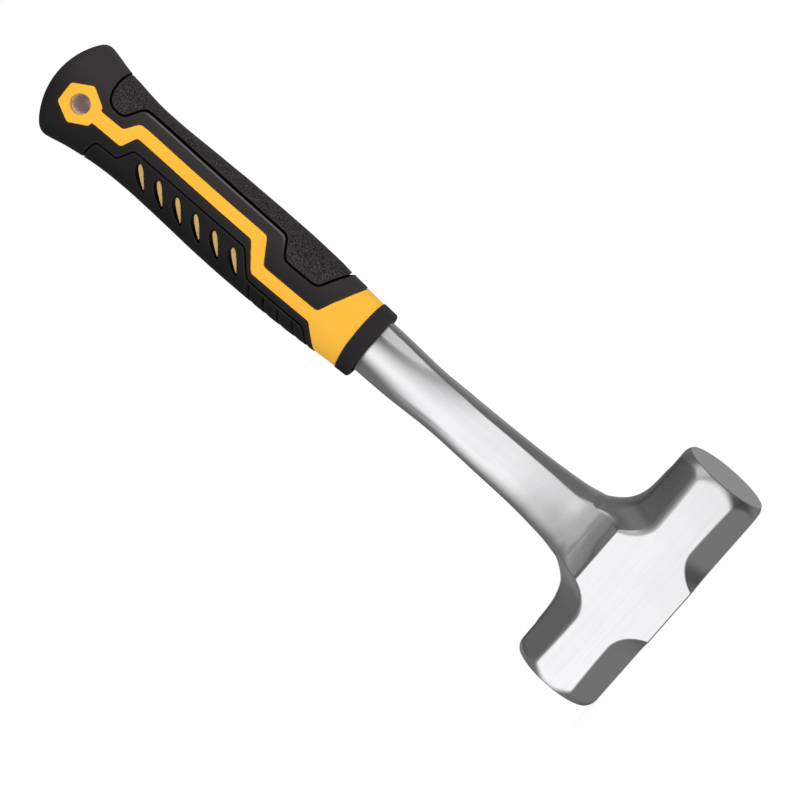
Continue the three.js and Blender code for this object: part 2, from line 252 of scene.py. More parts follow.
def convexity(verts, quads, normals):
    """0..1, how strongly the surface turns outwards at each vertex."""
    i = quads.T.ravel()
    j = np.roll(quads, -1, 1).T.ravel()
    d = verts[j] - verts[i]
    length = np.maximum(np.linalg.norm(d, axis=1), 1e-6)
    turn = ((normals[j] - normals[i]) * d).sum(1) / (length * length)
    count = np.maximum(np.bincount(i, minlength=len(verts)), 1)
    return np.clip(np.bincount(i, turn, len(verts)) / count / 0.8, 0, 1)


# ----------------------------------------------------------------- the forging
CHAMFER = 9.75                      # leg of the long chamfers on the head
CHAMFER_DIST = (2 * HEAD_HALF_Y - CHAMFER) / math.sqrt(2)
RUN_OUT_X, RUN_OUT_R = 24.0, 13.2   # where the chamfers start to run out, and how round
BEVEL_R, BEVEL_X = 18.0, HEAD_HALF_X - 1.87     # point on the cone that turns the ends
BEVEL_NORMAL = 0.838, 0.545                     # radial, X
SLOPE_Z, SLOPE_NORMAL = 35.7, (0.621, 0.784)    # slope under each cheek, normal in Y, Z
TANG_HALF = 9.0, 4.0                # X, Y
TANG_HOLES, TANG_HOLE_R = (196, 250), 3.2

# Stations along z, each with its value in mm.
neck_width = Curve([    # half width in X of neck and shank
    (30, 45), (36.0, 38), (36.35, 33), (37.05, 27.6), (38.6, 23.2), (40.8, 19.9), (44.6, 16.7),
    (48.35, 14.75), (52.1, 13.75), (55.9, 13.1), (63.4, 12.35), (70.9, 11.75), (82.2, 11.15),
    (93.5, 10.68), (101, 10.45), (108.6, 10.25), (116, 10.25), (123.6, 10.4), (131, 10.75),
    (138.7, 11.2), (146.2, 11.55), (152, 11.65), (170, 11.7)])
neck_depth = Curve([    # half thickness in Y on the middle line
    (28, 13.3), (36, 12.0), (40, 11.15), (43.6, 10.35), (46, 9.8), (51, 8.9), (56, 8.4),
    (62.5, 7.75), (70, 7.18), (76, 6.86), (82, 6.7), (90, 6.68), (100, 6.8), (116, 7.15),
    (130, 7.5), (140, 7.7), (150, 7.8), (170, 7.8)])
ramp_depth = Curve([    # half thickness of the hollow ramp that climbs from neck to cheek
    (28, 31), (35.7, 18.0), (36.6, 16.5), (37.6, 15.2), (38.8, 13.9), (40.1, 12.75),
    (41.6, 11.6), (43.6, 10.3), (45, 9.3), (48, 6.5), (60, 1.0), (170, 0.5)])
face_radius = Curve([   # broad faces: flat near the head, a round bar at the grip
    (28, 150), (70, 150), (90, 140), (100, 100), (108, 48), (116, 26), (122, 19),
    (129, 14.6), (139, 10.9), (150, 9.3), (170, 9.0)])
palm_barrel = Curve([   # how far the side face swells between ridge and outline, palm side
    (28, 5.0), (36, 5.0), (40, 4.4), (45, 3.5), (48, 3.5), (54, 3.8), (60, 3.4), (67, 2.75),
    (78, 2.2), (90, 1.7), (101, 1.5), (112, 1.15), (129, 1.05), (144, 1.2), (170, 1.3)])
finger_barrel = Curve([     # the same on the finger side
    (28, 5.0), (36, 5.0), (40, 4.6), (45, 3.9), (54, 3.7), (60, 3.2), (67, 2.8), (80, 2.5),
    (100, 2.3), (127, 2.4), (170, 2.6)])
wing_depth = Curve([    # half thickness of the flat wing at its outer edge, palm side
    (28, 1), (96, 1), (104, 3), (112, 4.3), (121, 4.8), (129, 4.8), (144, 4.5), (150, 4.3),
    (170, 4.2)])
flare = Curve([         # extra half thickness towards the finger side
    (28, 2.3), (43, 2.3), (46, 2.15), (50, 1.95), (53.4, 1.58), (59, 0.98), (66, 0.46),
    (70, 0.22), (75, 0.06), (80, 0), (170, 0)])
finger_blend = Curve([  # softness of the finger-side ridge
    (28, 0.3), (40, 0.6), (44, 2.4), (49, 4.8), (60, 5.4), (80, 5.6), (95, 4.0), (115, 3.4),
    (127, 2.7), (150, 2.3), (170, 2.3)])
neck_edge = [(float(neck_width(z)), float(z))
             for z in np.concatenate([np.linspace(30, 60, 90), np.linspace(61, 170, 90)])]
neck_outline = OutlineField([neck_edge + [(-x, z) for x, z in reversed(neck_edge)]],
                            (-50, 26), (50, 172), 0.15)


# Every *_dist function below is a distance to a solid, negative inside.
def chamfer_dist(x, y, z):
    """The four long chamfers and their round run-outs."""
    d = (np.abs(y) + np.abs(z - HEAD_Z)) / math.sqrt(2) - CHAMFER_DIST
    ax = np.abs(x)
    run_out = RUN_OUT_R - np.hypot(ax - RUN_OUT_X, np.minimum(d, RUN_OUT_R) - RUN_OUT_R)
    return np.where(ax >= RUN_OUT_X, d, np.minimum(run_out, d))


def ends_dist(x, y, z):
    """Flat striking faces and the cone behind them; no effect on the middle of the head."""
    ax = np.abs(x)
    r = np.sqrt(y * y + (z - HEAD_Z) ** 2)
    cone = (r - BEVEL_R) * BEVEL_NORMAL[0] + (ax - BEVEL_X) * BEVEL_NORMAL[1]
    return smooth_max(cone, ax - HEAD_HALF_X, 0.35) - 300 * (1 - fade(ax, 26, 34))


def neck_dist(x, y, z):
    """Neck and shank: barrelled sides and crowned broad faces that meet in a ridge."""
    ax, ay = np.abs(x), np.abs(y)
    palm = fade(x, -1.5, 1.5)
    finger = 1 - palm
    # the palm side is fuller, the finger side leaner near the head and fuller at the grip
    side = (neck_outline(x, z) - 0.42 * palm * fade(z, 38, 51) * fade(z, 128, 108)
            + finger * fade(z, 37, 39.5) * (0.35 * fade(z, 51, 46) + 0.3 * fade(z, 90, 66))
            - 1.2 * finger * fade(z, 110, 146) * fade(z, 153, 150.5))
    barrel = palm_barrel(z) * palm + finger_barrel(z) * finger
    # half thickness on the middle line: neck or ramp, with a faint crest where they meet
    crest = 0.045 * bell(z, 43.5, 0.45) * fade(ax, 12, 9)
    swell = flare(z) * fade(x, 6, -9)
    ramp = ramp_depth(z)
    depth = smooth_max(neck_depth(z) + swell,
                       ramp + swell * np.clip((HEAD_HALF_Y - ramp) / 7.7, 0, 1), 0.8) + crest
    depth = np.minimum(depth, HEAD_HALF_Y)
    on_ramp = fade(z, 47.5, 42.0)
    tilt = np.maximum(-neck_depth.slope(z) * (1 - on_ramp)
                      - np.maximum(ramp_depth.slope(z), -1.4) * on_ramp, 0)
    # broad faces: an arc that carries on as a 45 degree slope, joined by the wing
    radius = face_radius(z)
    arc_x = np.minimum(ax, np.minimum(0.707 * radius, 60))
    root = np.sqrt(radius * radius - arc_x * arc_x)
    bulge = depth - (radius - root) - (ax - arc_x)
    ridge_x = neck_width(z) - barrel
    wing = wing_depth(z) + 0.268 * (ridge_x - ax) - 8 * finger
    face_y = np.maximum(smooth_max(bulge, wing, 0.5), 0.3)
    ridge_y = np.maximum(
        depth - np.minimum(ridge_x, 14) ** 2 / (2 * np.maximum(radius, 20)), 4.4)
    q = np.minimum(ay, ridge_y) / ridge_y
    side = (side + barrel * q * q) / np.sqrt(1 + (2 * barrel * q / ridge_y) ** 2)
    lean = np.minimum(arc_x / root, 1.2)
    broad = (ay - face_y) / np.sqrt(1 + lean * lean + np.minimum(tilt, 1.4) ** 2)
    palm_blend = 0.3 + 0.4 * fade(z, 54, 44)
    return smooth_max(side, broad, palm_blend * palm + finger_blend(z) * finger)


def tang_dist(x, y, z):
    """Flat tang inside the grip, thickened where it joins the shank, with two holes."""
    root = fade(z, 166, 156)
    q = smooth_max(np.abs(x) - (TANG_HALF[0] + 2.7 * root),
                   np.abs(y) - (TANG_HALF[1] + 3.8 * root), 2.0)
    q = np.maximum(q, np.maximum(z - TANG_Z, 150 - z))
    for hole_z in TANG_HOLES:
        q = np.maximum(q, TANG_HOLE_R - np.hypot(x, z - hole_z))
    return q


def forging_dist(x, y, z):
    ax, ay = np.abs(x), np.abs(y)
    barrel = 0.0010 * np.maximum(ax - 22, 0) ** 2   # cheeks draw in towards the ends
    head = smooth_max(ay - HEAD_HALF_Y + barrel, np.abs(z - HEAD_Z) - HEAD_Z, 0.5)
    slope = (ay - HEAD_HALF_Y) * SLOPE_NORMAL[0] + (z - SLOPE_Z) * SLOPE_NORMAL[1]
    head = np.maximum(head, slope - 9 * fade(ax, 15, 19))
    neck = np.maximum(neck_dist(x, y, z), np.maximum(z - 160, 30 - z))
    steel = smooth_min(head, neck, 1.2 - 1.18 * fade(ay, 8, 12))
    # chamfer edges are softer on the neck side of the head; the chamfers end on the neck
    blend = np.where(z > HEAD_Z, 0.7 + 0.7 * fade(x, -6, 6), 0.5)
    steel = smooth_max(steel, chamfer_dist(x, y, z) - 5 * fade(z, 46, 54), blend)
    steel = smooth_max(steel, ends_dist(x, y, z), 0.9)
    return np.minimum(steel, tang_dist(x, y, z))


# -------------------------------------------------------------------- the grip
# Grip outlines are (x, distance from the butt).
HANG_Z = LENGTH - 16.7      # hang hole
HANG_R = 4.0
SLEEVE_R, SLEEVE_BORE_R, SLEEVE_HALF_Y = 4.4, 3.75, 11.2
SLEEVE_SEAT_R, SLEEVE_SEAT_HALF_Y = 4.75, 11.8
HEX_R = 8.75                # hexagonal boss round the hang hole, across its corners
HEX_FLAT = HEX_R * math.sqrt(3) / 2
HANG_U = 16.7
INLAY = 0.28                # core face below the grip surface
SKIN = 1.75                 # thickness of shell and pads
TANG_GAP = 0.3
SHELL_FRONT_U = 150.4

CORE_OUTLINE = [
    (24, 148.4), (19, 145.3), (14.7, 142.65), (12.1, 141.13), (8.74, 139.44), (5.5, 137.65),
    (0.5, 135.5), (-0.55, 134.9), (-0.96, 133.9), (-1.2, 118.9), (-1.29, 109.6), (-0.95, 108.7),
    (-0.1, 108.1), (7.3, 103.2), (8.05, 102.4), (8.3, 101.3), (8.3, 81.5), (8.5, 62.6),
    (8.85, 43.7), (8.8, 39.8), (8.4, 38.8), (7.5, 38.05), (3.7, 35.5), (3.2, 34.7),
    (3.08, 33.2), (3.07, HANG_U + HEX_FLAT),
    (HEX_R / 2, HANG_U + HEX_FLAT), (HEX_R, HANG_U), (HEX_R / 2, HANG_U - HEX_FLAT),
    (-HEX_R / 2, HANG_U - HEX_FLAT), (-HEX_R, HANG_U), (-HEX_R / 2, HANG_U + HEX_FLAT),
    (-2.62, HANG_U + HEX_FLAT), (-2.62, 37.3), (-2.45, 38.1), (-1.85, 38.75), (3.3, 41.1),
    (3.95, 41.7), (4.12, 42.6), (3.8, 62.6), (3.55, 81.5), (3.48, 98.0), (3.25, 98.75),
    (2.7, 99.3), (-6.0, 106.1), (-6.5, 106.75), (-6.65, 107.6), (-6.5, 118.9), (-6.3, 134.2),
    (-6.5, 134.95), (-7.2, 135.65), (-10.95, 139.2), (-13.75, 141.6), (-19, 145.9),
    (-24, 150.2), (-24, 175), (24, 175)]
PALM_OUTLINE = [
    (26, 21.5), (17.6, 21.7), (14.7, 21.9), (11.6, 22.55), (9.2, 23.6), (7.4, 25.2),
    (6.5, 27.3), (6.35, 30.6), (6.8, 32.3), (7.9, 33.3), (12.1, 35.75), (13.1, 36.8),
    (13.4, 38.4), (13.4, 42), (13.1, 62.2), (12.85, 81.2), (12.65, 100), (12.55, 106.4),
    (12.1, 107.9), (11.0, 109.0), (7.0, 111.9), (5.75, 113.2), (5.3, 115.0), (5.55, 127.3),
    (6.1, 129.1), (7.5, 130.4), (11.1, 132.25), (13.7, 133.9), (16.2, 136), (26, 143.5)]
FINGER_OUTLINE = [
    (-26, 26.4), (-13.8, 28.3), (-9.3, 29.3), (-8.0, 30.0), (-7.4, 31.2), (-7.25, 39.2),
    (-6.6, 40.2), (-1.4, 42.9), (-0.5, 43.8), (-0.24, 45.2), (-0.27, 62.6), (-0.3, 97.8),
    (-0.65, 99.0), (-1.5, 99.9), (-8.5, 105.9), (-9.35, 107.0), (-9.6, 108.4), (-9.6, 118.7),
    (-9.45, 132.7), (-9.75, 134.2), (-10.6, 135.4), (-13.7, 137.8), (-26, 148)]
RING_LINE = [       # butt end of the neck ring
    (-30, 152.6), (-19, 152.4), (-13.5, 152.1), (-8.4, 151.5), (-2.4, 150.95), (5.2, 150.85),
    (12.1, 151.0), (19, 151.4), (30, 151.6)]

# Row of slanted lenses on the finger side: windows in the pad, tongues of the core in them.
LENS_COUNT = 6
LENS_START, LENS_STEP = (-2.75, 48.3), (-0.17, 9.42)
LENS_SPAN = np.array([-7.7, 7.1])
# (part of the length, half width on the butt side, half width on the head side)
WINDOW = [(-0.06, 0.5, 0.5), (0.02, 1.3, 1.1), (0.2, 2.0, 1.35), (0.45, 2.1, 1.25),
          (0.7, 1.6, 0.95), (0.92, 0.9, 0.6), (1.04, 0.3, 0.3)]
TONGUE = [(0.0, 0.35, 0.3), (0.08, 0.85, 0.7), (0.25, 1.0, 0.95), (0.5, 0.8, 0.85),
          (0.75, 0.5, 0.55), (0.95, 0.15, 0.15)]
GROOVES_U = [112.5, 119.6, 126.6, 133.6]    # slanted grooves round the belly
GROOVE_DEPTH, GROOVE_WIDTH, GROOVE_LEAN = 0.95, 0.75, 0.558

GRIP = [    # distance from the butt, half width in X, half thickness in Y
    (-2, 21.6, 15.2), (6, 21.3, 15.3), (10, 20.95, 15.15), (12, 20.6, 15.0),
    (14.5, 20.05, 14.8), (18, 19.2, 14.4), (22.5, 18.3, 13.95), (27, 17.6, 13.55),
    (34.5, 16.65, 13.1), (42, 16.2, 12.9), (50, 16.1, 12.9), (60, 16.35, 13.0),
    (72, 16.85, 13.1), (84, 17.38, 13.2), (98, 17.6, 13.2), (112, 17.5, 13.1),
    (125, 17.08, 12.9), (136, 16.42, 12.6), (145, 15.78, 12.2), (152, 15.25, 11.9),
    (158.4, 14.9, 11.7), (175, 14.3, 11.4)]
grip_width = Curve([(u, width) for u, width, depth in GRIP])
grip_depth = Curve([(u, depth) for u, width, depth in GRIP])
grip_shift = Curve([    # distance from the butt, shift of the section in X
    (-5, 0), (60, 0), (78, -0.18), (95, -0.32), (136, -0.32), (150, -0.22), (160, -0.2),
    (180, -0.2)])
SECTION_POWER = 2.35        # superellipse exponent of the grip section
DOME_R, DOME_X = 30.5, 0.9  # butt dome


def from_butt(points):
    return [(x, LENGTH - u) for x, u in points]


def lens(i, profile):
    root = np.array([start + step * i for start, step in zip(LENS_START, LENS_STEP)])
    root[0] = LENS_START[0] + LENS_STEP[0] * i
    length = float(np.hypot(*LENS_SPAN))
    t = LENS_SPAN / length
    n = np.array([-t[1], t[0]])
    butt_side = [root + t * part * length + n * width for part, width, _ in profile]
    head_side = [root + t * part * length - n * width for part, _, width in profile]
    return from_butt(butt_side + head_side[::-1])


def grip_outline(outlines, reach, low, high, pitch=0.12):
    """Field of rounded outlines; low and high are (x, z from the butt end)."""
    return OutlineField([round_corners(points, reach) for points in outlines],
                        (low[0], LENGTH + low[1]), (high[0], LENGTH + high[1]), pitch)


def lens_outline(profile):
    return grip_outline([lens(i, profile) for i in range(LENS_COUNT)], 2,
                        (-16, -112), (0, -40), 0.08)


core_outline = grip_outline([from_butt(CORE_OUTLINE)], 1.0, (-27, -176), (27, 2))
palm_outline = grip_outline([from_butt(PALM_OUTLINE)], 2.4, (0, -150), (27, -14))
finger_outline = grip_outline([from_butt(FINGER_OUTLINE)], 1.6, (-27, -150), (4, -20))
window_outline = lens_outline(WINDOW)
tongue_outline = lens_outline(TONGUE)
ring_line = Curve(from_butt(RING_LINE))


def grip_dist(x, y, z):
    """Outer surface of the grip, butt dome included."""
    u = LENGTH - z
    a, b, shift = grip_width(u), grip_depth(u), grip_shift(u)
    p = np.abs(x - shift) / (a + shift)
    q = np.abs(y) / b
    pn, qn = p ** SECTION_POWER, q ** SECTION_POWER
    total = np.maximum(pn + qn, 1e-6)
    rho = total ** (1 / SECTION_POWER)
    k = total ** (1 / SECTION_POWER - 1)
    gx = k * p ** (SECTION_POWER - 1) / a
    gy = k * q ** (SECTION_POWER - 1) / b
    gz = k * (pn * grip_width.slope(u) / a + qn * grip_depth.slope(u) / b)
    side = (rho - 1) / np.maximum(np.sqrt(gx * gx + gy * gy + gz * gz), 0.04)
    dome_z = np.maximum(z - (LENGTH - DOME_R), 0)
    dome = np.sqrt((x - DOME_X) ** 2 + y * y + dome_z ** 2) - DOME_R
    return smooth_max(side, dome, 2.1)


def core_dist(x, y, z):
    """Body under the skin, its raised inlay and tongues, bored for shank, tang and sleeve."""
    grip = grip_dist(x, y, z)
    inlay = smooth_max(grip + INLAY, core_outline(x, z) - 0.05, 0.25)
    tongues = smooth_max(grip + 0.8, tongue_outline(x, z) - 0.08, 0.22)
    tongues = np.maximum(tongues, -(x + 14))
    core = np.minimum(np.minimum(inlay, grip + 2.0), tongues)
    # double precision, because a lattice plane falls on this face
    core = np.maximum(core, (RING_Z + 2.2) - z.astype(float))
    r = np.hypot(x, z - HANG_Z)
    seat = np.minimum(SLEEVE_SEAT_R - r, SLEEVE_SEAT_HALF_Y - np.abs(y))
    core = smooth_max(core, np.maximum(HANG_R - r, seat), 0.5)
    shank = ((np.abs(x / 12.05) ** 2.3 + np.abs(y / 8.15) ** 2.3) ** (1 / 2.3) - 1) * 8
    tang = np.maximum(np.abs(x) - (TANG_HALF[0] + TANG_GAP),
                      np.abs(y) - (TANG_HALF[1] + TANG_GAP))
    room = np.maximum(np.where(z < 160.5, np.minimum(shank, tang), tang),
                      z - TANG_Z - TANG_GAP)
    return np.maximum(core, -room)


def shell_dist(x, y, z):
    """Black skin, open over the inlay and both pads, with a raised bead round the palm pad."""
    grip = grip_dist(x, y, z)
    core, palm, finger = core_outline(x, z), palm_outline(x, z), finger_outline(x, z)
    top = smooth_max(grip - 0.12 * bell(palm, 0.4, 0.26), 0.18 - core, 0.6)
    top = smooth_max(top, 0.10 - palm, 0.45)
    top = smooth_max(top, 0.12 - finger, 0.7)
    # a thin floor closes the grooves round both pads
    bottom = np.maximum(grip + 1.2,
                        np.maximum(0.25 - core, -1.3 - np.minimum(palm, finger)))
    shell = smooth_max(np.minimum(top, bottom), -(grip + SKIN), 0.2)
    return np.maximum(shell, (LENGTH - SHELL_FRONT_U) - z)


def hollow_pad(top, grip, edge):
    """Hollows a pad from below and gives it a flange 1.1 to 1.75 mm down."""
    return smooth_max(top, np.maximum(-(grip + SKIN), np.minimum(edge + 1.45, -(grip + 1.1))),
                      0.1)


def palm_dist(x, y, z):
    grip, edge = grip_dist(x, y, z), palm_outline(x, z)
    crown = 0.15 * fade(-edge, 1.7, 5.0) - 0.05
    return hollow_pad(smooth_max(grip - crown, edge + 0.72, 0.5), grip, edge)


def finger_dist(x, y, z):
    grip, edge = grip_dist(x, y, z), finger_outline(x, z)
    top = smooth_max(grip, edge + 0.3, 0.85)
    top = smooth_max(top, -window_outline(x, z), 0.45)
    u = LENGTH - z
    cut = 0
    for groove_u in GROOVES_U:      # each leans towards the butt as |y| grows
        line = (u - groove_u) + GROOVE_LEAN * np.abs(y) - 2.2
        inside = fade(-edge, 0.6, 2.0) * fade(-x, 9.6, 12.0)
        cut = cut + GROOVE_DEPTH * bell(line, 0, GROOVE_WIDTH) * inside
    return hollow_pad(top + cut, grip, edge)


def ring_dist(x, y, z):
    """Cap on the front end of the grip, hollow inside, its bore following the shank."""
    grip = grip_dist(x, y, z) - 0.12
    ring = smooth_max(smooth_max(grip, z - (ring_line(x) - 0.12), 0.5), RING_Z - z, 1.3)
    ring = np.maximum(ring, -np.maximum(grip + 1.9, (RING_Z + 1.9) - z))
    return smooth_max(ring, -(neck_dist(x, y, z) - 0.25), 0.5)


def sleeve_dist(x, y, z):
    r = np.hypot(x, z - HANG_Z)
    tube = smooth_max(r - SLEEVE_R, SLEEVE_BORE_R - r, 0.25)
    return smooth_max(tube, np.abs(y) - SLEEVE_HALF_Y, 0.3)


# ------------------------------------------------------------------- materials
class Net:
    """Adds and links shader nodes. Values may be numbers or sockets."""

    def __init__(self, tree):
        self.tree = tree
        tree.nodes.clear()

    def add(self, kind, **props):
        node = self.tree.nodes.new(kind)
        for key, value in props.items():
            setattr(node, key, value)
        return node

    def put(self, node, inputs):
        for key, value in inputs.items():
            if isinstance(value, bpy.types.NodeSocket):
                self.tree.links.new(value, node.inputs[key])
            else:
                node.inputs[key].default_value = value

    def math(self, op, a, b=0.0):
        node = self.add("ShaderNodeMath", operation=op)
        self.put(node, {0: a, 1: b})
        return node.outputs[0]

    def shift(self, a, b):
        node = self.add("ShaderNodeVectorMath", operation="ADD")
        self.put(node, {0: a, 1: b})
        return node.outputs[0]

    def noise(self, vector, scale, detail=2.0, rough=0.5):
        node = self.add("ShaderNodeTexNoise")
        self.put(node, {"Vector": vector, "Scale": scale, "Detail": detail,
                        "Roughness": rough})
        return node.outputs["Fac"]

    def voronoi(self, vector, scale, randomness):
        node = self.add("ShaderNodeTexVoronoi")
        self.put(node, {"Vector": vector, "Scale": scale, "Randomness": randomness})
        return node.outputs["Distance"]

    def ramp(self, fac, stops):
        """Stops are (position, RGB)."""
        node = self.add("ShaderNodeValToRGB")
        elements = node.color_ramp.elements
        while len(elements) < len(stops):
            elements.new(0.5)
        for element, (position, color) in zip(elements, stops):
            element.position = position
            element.color = (*color, 1)
        self.put(node, {"Fac": fac})
        return node.outputs["Color"]

    def remap(self, value, to, source=(0.3, 0.7), **props):
        """The default source span holds most of what a noise texture gives."""
        node = self.add("ShaderNodeMapRange", **props)
        self.put(node, {"Value": value, "From Min": source[0], "From Max": source[1],
                        "To Min": to[0], "To Max": to[1]})
        return node.outputs["Result"]

    def mix(self, fac, a, b):
        node = self.add("ShaderNodeMix", data_type="RGBA")
        self.put(node, {0: fac, 6: a, 7: b})
        return node.outputs[2]

    def bump(self, height, strength, distance, normal=None):
        node = self.add("ShaderNodeBump")
        self.put(node, {"Height": height, "Strength": strength, "Distance": distance})
        if normal is not None:
            self.put(node, {"Normal": normal})
        return node.outputs["Normal"]

    def attribute(self, name, output="Fac"):
        return self.add("ShaderNodeAttribute", attribute_name=name).outputs[output]

    def position(self):
        return self.add("ShaderNodeTexCoord").outputs["Object"]

    def combine(self, *parts):
        node = self.add("ShaderNodeCombineXYZ")
        self.put(node, dict(enumerate(parts)))
        return node.outputs[0]

    def scaled(self, sockets, factors):
        return self.combine(*[self.math("MULTIPLY", s, f) for s, f in zip(sockets, factors)])

    def separate(self, vector):
        node = self.add("ShaderNodeSeparateXYZ")
        self.put(node, {0: vector})
        return node.outputs


def new_material(name):
    mat = bpy.data.materials.new(name)
    mat.use_nodes = True
    net = Net(mat.node_tree)
    out = net.add("ShaderNodeOutputMaterial")
    bsdf = net.add("ShaderNodeBsdfPrincipled")
    net.put(out, {"Surface": bsdf.outputs["BSDF"]})
    return mat, net, bsdf


def steel_material():
    """Satin steel with long grinding lines, a darker colour on the neck-side chamfers."""
    mat, net, bsdf = new_material("forged_steel_satin")
    flow = net.separate(net.attribute("flow", "Vector"))    # along, across, side, in mm
    place = net.position()
    fine_lines = net.scaled(flow, (0.045, 3.0, 0.7))
    broad_lines = net.scaled(flow, (0.02, 0.9, 0.3))
    fine = net.noise(fine_lines, scale=1.0, detail=4.0, rough=0.6)
    broad = net.noise(broad_lines, scale=1.0, detail=3.0, rough=0.55)
    cloud = net.noise(place, scale=38.0, detail=3.0, rough=0.55)
    pits = net.noise(place, scale=900.0)
    rough = net.math("ADD", net.remap(fine, to=(0.254, 0.278)),
                     net.remap(cloud, to=(-0.03, 0.045), source=(0.35, 0.65)))
    rough = net.math("ADD", rough, net.remap(broad, to=(-0.015, 0.02), source=(0.35, 0.65)))
    edge_polish = net.math("MULTIPLY", net.attribute("edge"), 0.05)
    rough = net.math("SUBTRACT", rough, edge_polish)
    tint = net.math("ADD", net.math("MULTIPLY", cloud, 0.6), net.math("MULTIPLY", fine, 0.4))
    color = net.ramp(tint, [(0.3, (0.70, 0.70, 0.705)), (0.55, (0.76, 0.76, 0.765)),
                            (0.75, (0.80, 0.80, 0.805))])
    # darker colour on the neck-side chamfers, away from the middle of the head
    color = net.mix(net.attribute("darker_chamfer"), color, (0.50, 0.50, 0.503, 1))
    mottle = net.noise(place, scale=620.0, detail=3.0, rough=0.6)
    normal = net.bump(mottle, strength=0.10, distance=0.00010)
    normal = net.bump(fine, strength=0.035, distance=0.00004, normal=normal)
    normal = net.bump(cloud, strength=0.10, distance=0.00012, normal=normal)
    normal = net.bump(pits, strength=0.05, distance=0.00002, normal=normal)
    net.put(bsdf, {"Roughness": rough, "Base Color": color, "Metallic": 1.0,
                   "Normal": normal})
    return mat


def yellow_material():
    """Yellow moulding, with painted shade: tan on the tongues and near black in the window
    beds.
    """
    mat, net, bsdf = new_material("yellow_moulding")
    place = net.position()
    cloud = net.noise(place, scale=55.0, detail=3.0)
    grain = net.noise(place, scale=1900.0)
    color = net.ramp(cloud, [(0.3, (0.92, 0.465, 0.026)), (0.6, (0.95, 0.49, 0.030)),
                             (0.8, (0.97, 0.51, 0.034))])
    # painted shade: the tongues lie down in the windows and are drawn tan
    color = net.mix(net.attribute("painted_tongue_shade"), color, (0.62, 0.39, 0.13, 1))
    # painted shade: near black where the core lies deep in the windows
    color = net.mix(net.attribute("bed"), color, (0.006, 0.0052, 0.0055, 1))
    normal = net.bump(grain, strength=0.10, distance=0.00003)
    normal = net.bump(cloud, strength=0.15, distance=0.0002, normal=normal)
    net.put(bsdf, {"Base Color": color, "Roughness": net.remap(grain, to=(0.42, 0.52)),
                   "IOR": 1.46, "Normal": normal})
    return mat


def black_material(name, painted_shade, light, rough, offset, specular):
    """Black rubber: painted light and shade across the sides, cloudy and worn colours, painted
    shade in recesses and a painted highlight along the palm-pad bead.
    """
    mat, net, bsdf = new_material(name)
    place = net.shift(net.position(), (offset, offset, offset))
    cloud = net.noise(place, scale=60.0, detail=3.0)
    micro = net.noise(place, scale=2600.0, rough=0.55)
    wear = net.math("MULTIPLY", net.attribute("edge"), 0.25)
    # painted light and shade: the shaded-side colour turns to the lit-side colour towards +X
    color = net.mix(net.attribute("painted_side_light"), (*painted_shade, 1), (*light, 1))
    color = net.mix(net.remap(cloud, to=(0, 0.14)), color, (0.03, 0.027, 0.028, 1))
    color = net.mix(wear, color, (0.05, 0.045, 0.047, 1))
    # painted shade: near black, with little gloss, in grooves, recesses and windows
    color = net.mix(net.attribute("painted_shade"), color, (0.002, 0.002, 0.002, 1))
    # painted highlight: a lighter line along the bead round the palm pad
    color = net.mix(net.attribute("painted_lip_highlight"), color, (0.15, 0.142, 0.145, 1))
    roughness = net.math("ADD", net.remap(micro, to=rough),
                         net.remap(cloud, to=(-0.03, 0.03)))
    level = net.remap(net.attribute("painted_shade"), to=(specular, 0.03), source=(0, 1))
    net.put(bsdf, {"Base Color": color, "Roughness": roughness, "IOR": 1.48,
                   "Specular IOR Level": level,
                   "Normal": net.bump(micro, strength=0.18, distance=0.00004)})
    return mat


def grain_material():
    """Soft-touch rubber: small closed pebbles with narrow valleys, painted shade in the valleys
    and painted light on the pebbles, plain near the edge.
    """
    mat, net, bsdf = new_material("grained_rubber")
    place = net.position()
    warp = net.noise(place, scale=700.0)
    warped = net.shift(place, net.scaled((warp,) * 3, (0.0006, -0.0005, 0.0004)))
    cell = net.voronoi(warped, scale=1700.0, randomness=0.95)
    fine = net.noise(place, scale=4200.0)
    cloud = net.noise(place, scale=70.0, detail=3.0)
    pebble = net.remap(cell, to=(1.0, 0.0), source=(0.15, 0.75))
    mask = net.attribute("grain")
    # painted shade and light: valleys near black, pebble tops lighter
    painted_pebble_shading = net.ramp(pebble, [(0.0, (0.008, 0.0062, 0.0060)), (0.5, (0.030, 0.0240, 0.0230)),
                                (1.0, (0.082, 0.066, 0.063))])
    plain = net.ramp(cloud, [(0.3, (0.024, 0.021, 0.022)), (0.7, (0.034, 0.029, 0.030))])
    rough = net.math("ADD", net.remap(fine, to=(0.55, 0.72)),
                     net.remap(cloud, to=(-0.03, 0.03)))
    height = net.math("ADD", net.math("MULTIPLY", pebble, 1.0),
                      net.math("MULTIPLY", fine, 0.25))
    height = net.math("MULTIPLY", height, mask)
    net.put(bsdf, {"Base Color": net.mix(mask, plain, painted_pebble_shading), "Roughness": rough,
                   "IOR": 1.48, "Specular IOR Level": 0.35,
                   "Normal": net.bump(height, strength=0.75, distance=0.00014)})
    return mat


def sleeve_material():
    mat, net, bsdf = new_material("glowing_hang_hole_liner")
    noise = net.noise(net.position(), scale=900.0, detail=3.0, rough=0.6)
    # grey-mauve colour, made paler to make up for the shade in the hole: partly painted light
    color = net.ramp(noise, [(0.3, (0.58, 0.46, 0.45)), (0.7, (0.70, 0.57, 0.55))])
    # painted light: a faint glow inside the hole
    net.put(bsdf, {"Base Color": color, "Emission Color": (1.0, 0.82, 0.82, 1),
                   "Emission Strength": 0.03, "Roughness": net.remap(noise, to=(0.42, 0.6)),
                   "Normal": net.bump(noise, strength=0.2, distance=0.00008)})
    return mat


steel = steel_material()
yellow = yellow_material()
